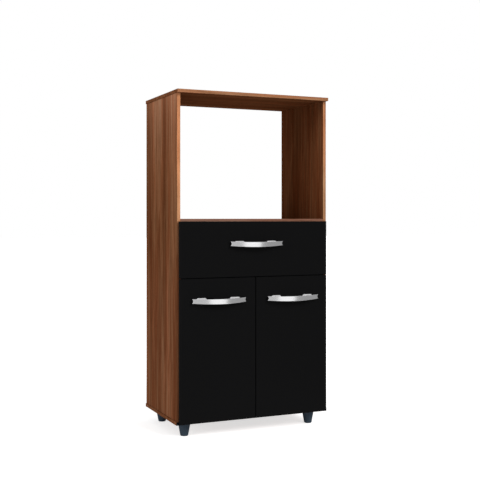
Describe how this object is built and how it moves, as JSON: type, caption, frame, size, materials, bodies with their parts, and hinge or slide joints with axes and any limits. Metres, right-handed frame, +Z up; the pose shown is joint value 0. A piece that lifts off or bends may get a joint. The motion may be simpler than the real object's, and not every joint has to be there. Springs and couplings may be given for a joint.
{
  "type": "microwave cabinet",
  "caption": "Tall narrow kitchen cabinet with an open microwave niche over a drawer and a pair of hinged doors, on short tapered feet.",
  "frame": {"origin": "on the floor, under the middle of the whole cabinet with its handles", "axes": "+Z up, fronts facing -Y, +X to the right as seen from the front"},
  "size_m": [0.6, 0.3955, 1.2305],
  "materials": {
    "walnut_laminate": "satin walnut-grain laminate on particle board, light edge band",
    "black_fronts": "satin black laminate face and edge band",
    "hardboard": "hardboard, plain printed face",
    "chrome_look": "metallised plastic with a chrome look",
    "zinc_plated_steel": "bright zinc plate",
    "white_epoxy_steel": "white epoxy paint",
    "nylon": "moulded nylon",
    "foot_plastic": "moulded dark plastic, slight sheen",
    "walnut_caps": "walnut-coloured cap",
    "beech": "fluted beech",
    "die_cast_zinc": "die-cast zinc"
  },
  "bodies": {
    "cabinet": {"back_panel": "hardboard", "back_panel_nails": "zinc_plated_steel", "bottom_panel": "walnut_laminate", "cabinet_roller_rivets": "zinc_plated_steel", "cam_bolts": "zinc_plated_steel", "cams": "die_cast_zinc", "dowels": "beech", "foot_screws": "zinc_plated_steel", "front_left_foot": "foot_plastic", "front_rail": "walnut_laminate", "front_right_foot": "foot_plastic", "hinge_plate_screws": "zinc_plated_steel", "inner_shelf": "walnut_laminate", "left_cabinet_runner": "white_epoxy_steel", "left_hinge_arms": "zinc_plated_steel", "left_hinge_plates": "zinc_plated_steel", "left_side": "walnut_laminate", "niche_shelf": "walnut_laminate", "panel_screws": "zinc_plated_steel", "rear_left_foot": "foot_plastic", "rear_right_foot": "foot_plastic", "right_cabinet_runner": "white_epoxy_steel", "right_hinge_arms": "zinc_plated_steel", "right_hinge_plates": "zinc_plated_steel", "right_side": "walnut_laminate", "runner_screws": "zinc_plated_steel", "shelf_pins": "zinc_plated_steel", "top_panel": "walnut_laminate", "top_screw_caps": "walnut_caps"},
    "drawer": {"drawer_front": "black_fronts", "drawer_left_side": "walnut_laminate", "drawer_right_side": "walnut_laminate", "drawer_back": "walnut_laminate", "drawer_bottom": "hardboard", "left_drawer_runner": "white_epoxy_steel", "right_drawer_runner": "white_epoxy_steel", "drawer_runner_screws": "zinc_plated_steel", "drawer_roller_rivets": "zinc_plated_steel", "drawer_cams": "die_cast_zinc", "drawer_cam_bolts": "zinc_plated_steel", "drawer_back_screws": "zinc_plated_steel", "drawer_bottom_nails": "zinc_plated_steel", "drawer_handle": "chrome_look", "drawer_handle_screws": "zinc_plated_steel"},
    "left_door": {"left_door": "black_fronts", "left_door_handle": "chrome_look", "left_door_handle_screws": "zinc_plated_steel", "left_hinge_cups": "zinc_plated_steel", "left_cup_screws": "zinc_plated_steel"},
    "right_door": {"right_door": "black_fronts", "right_door_handle": "chrome_look", "right_door_handle_screws": "zinc_plated_steel", "right_hinge_cups": "zinc_plated_steel", "right_cup_screws": "zinc_plated_steel"},
    "left_hinge_links": {"left_hinge_links": "zinc_plated_steel"},
    "right_hinge_links": {"right_hinge_links": "zinc_plated_steel"},
    "cabinet_rollers": {"cabinet_rollers": "nylon"},
    "drawer_rollers": {"drawer_rollers": "nylon"}
  },
  "joints": [
    {"name": "drawer_slide", "type": "slide", "parent": "cabinet", "child": "drawer", "axis": [0, -1, 0], "range_m": [0, 0.235]},
    {"name": "cabinet_roller_spin", "type": "hinge", "parent": "cabinet", "child": "cabinet_rollers", "pos_m": [0, -0.14025, 0.5965], "axis": [1, 0, 0], "range_deg": [0, 1347]},
    {"name": "drawer_roller_spin", "type": "hinge", "parent": "drawer", "child": "drawer_rollers", "pos_m": [0, 0.13025, 0.59225], "axis": [1, 0, 0], "range_deg": [0, 1347]},
    {"name": "left_door_hinge", "type": "hinge", "parent": "cabinet", "child": "left_hinge_links", "pos_m": [-0.2847, -0.16475, 0.31], "axis": [0, 0, -1], "range_deg": [0, 118]},
    {"name": "left_door_cup_pivot", "type": "hinge", "parent": "left_hinge_links", "child": "left_door", "pos_m": [-0.2683, -0.16095, 0.31], "axis": [0, 0, -1], "range_deg": [-23.6, 0]},
    {"name": "right_door_hinge", "type": "hinge", "parent": "cabinet", "child": "right_hinge_links", "pos_m": [0.2847, -0.16475, 0.31], "axis": [0, 0, 1], "range_deg": [0, 118]},
    {"name": "right_door_cup_pivot", "type": "hinge", "parent": "right_hinge_links", "child": "right_door", "pos_m": [0.2683, -0.16095, 0.31], "axis": [0, 0, 1], "range_deg": [-23.6, 0]}
  ],
  "couplings": [
    {"joint": "cabinet_roller_spin", "follows": "drawer_slide", "rad_per_m": 100},
    {"joint": "drawer_roller_spin", "follows": "drawer_slide", "rad_per_m": 100},
    {"joint": "left_door_cup_pivot", "follows": "left_door_hinge", "ratio": -0.2},
    {"joint": "right_door_cup_pivot", "follows": "right_door_hinge", "ratio": -0.2}
  ]
}
